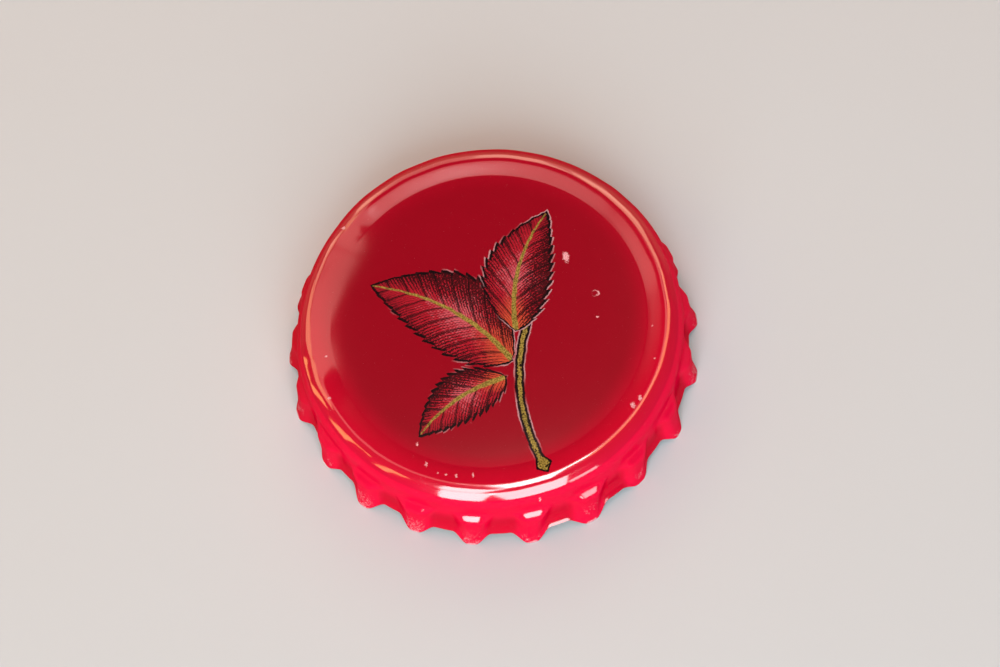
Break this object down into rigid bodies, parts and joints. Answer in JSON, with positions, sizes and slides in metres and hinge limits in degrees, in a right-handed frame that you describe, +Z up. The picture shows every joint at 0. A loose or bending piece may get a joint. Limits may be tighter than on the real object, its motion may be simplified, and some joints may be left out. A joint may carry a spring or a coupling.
{
  "type": "bottle cap",
  "caption": "Stamped tinplate cap for a bottle: a flat panel in a raised rim, a rounded shoulder, a fluted and crimped skirt, and a moulded sealing liner inside.",
  "frame": {"origin": "centre of the cap on the plane where the tips of its flutes rest", "axes": "+Z up through the printed panel along the cap's own axis; the middle of one flute lies on +X"},
  "size_m": [0.0295, 0.0296, 0.006],
  "materials": {
    "lacquered_tinplate": "glossy crimson lacquer",
    "sealing_compound": "satin moulded compound"
  },
  "bodies": {
    "root": {"shell": "lacquered_tinplate", "liner": "sealing_compound"}
  },
  "joints": []
}
